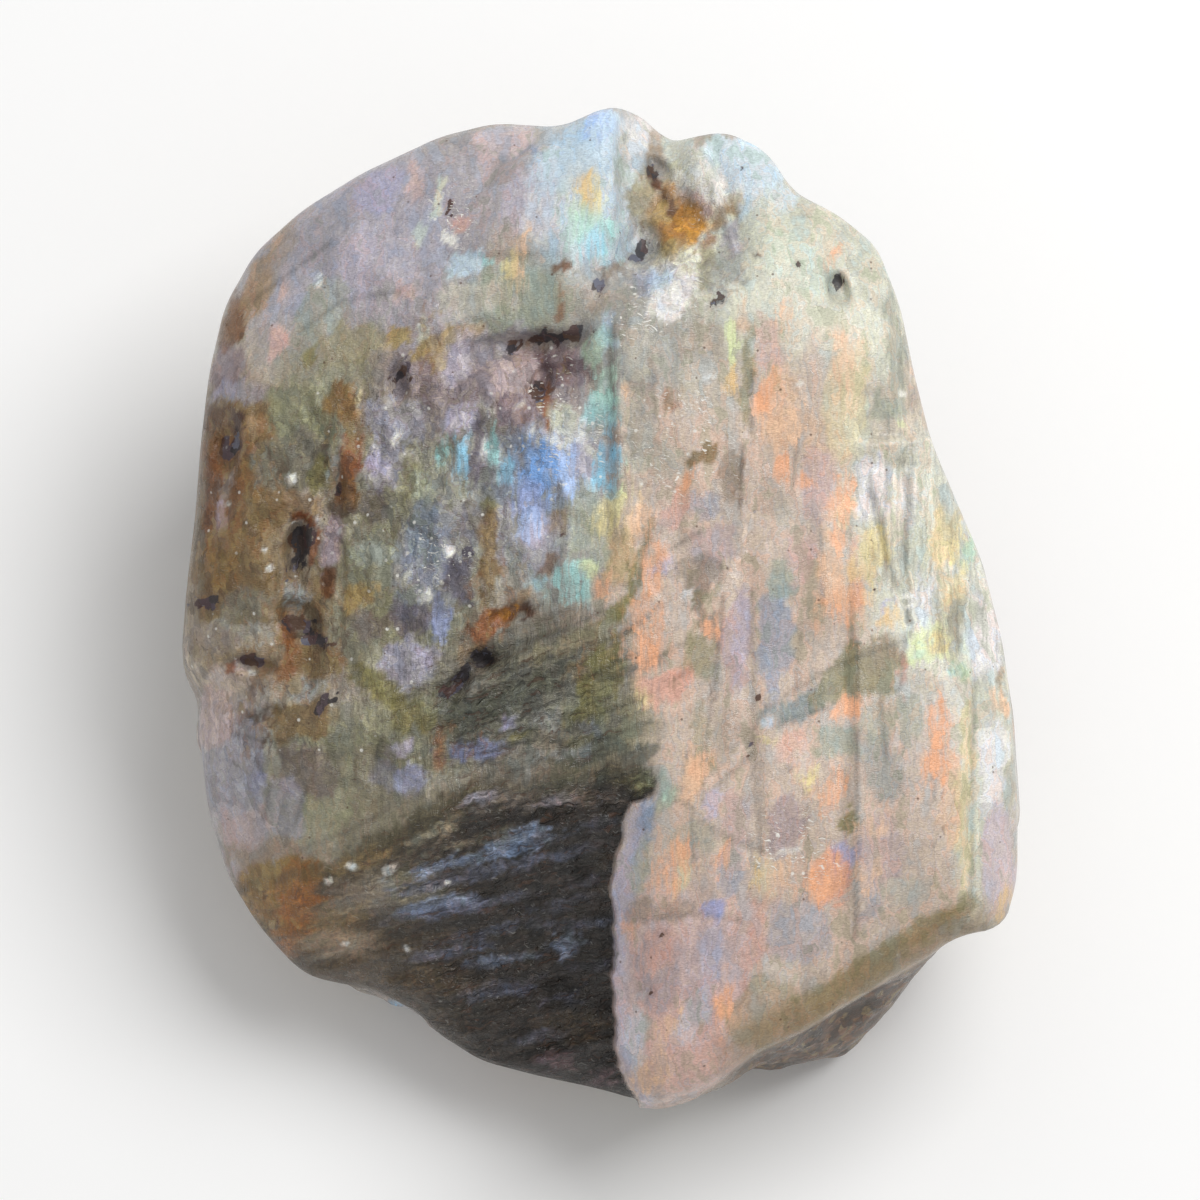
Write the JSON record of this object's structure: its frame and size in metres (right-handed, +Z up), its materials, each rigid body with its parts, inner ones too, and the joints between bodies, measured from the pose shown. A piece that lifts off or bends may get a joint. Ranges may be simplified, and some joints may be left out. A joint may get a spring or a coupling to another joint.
{
  "type": "rough labradorite chunk",
  "caption": "Rough labradorite chunk with a broad broken face, a scooped hollow below it and a flat back to lie on; display stone.",
  "frame": {"origin": "on the table, at the middle of the stone's bounding box seen from above", "axes": "+Z up from the flat face it lies on, +Y towards the notched end, +X to the right across the broad face; the broad face looks up and leans a little towards -Y"},
  "size_m": [0.051, 0.0597, 0.028],
  "materials": {
    "labradorite": "rough broken feldspar, satin on the cleavage faces, with a play of colour"
  },
  "bodies": {
    "root": {"labradorite_chunk": "labradorite"}
  },
  "joints": []
}
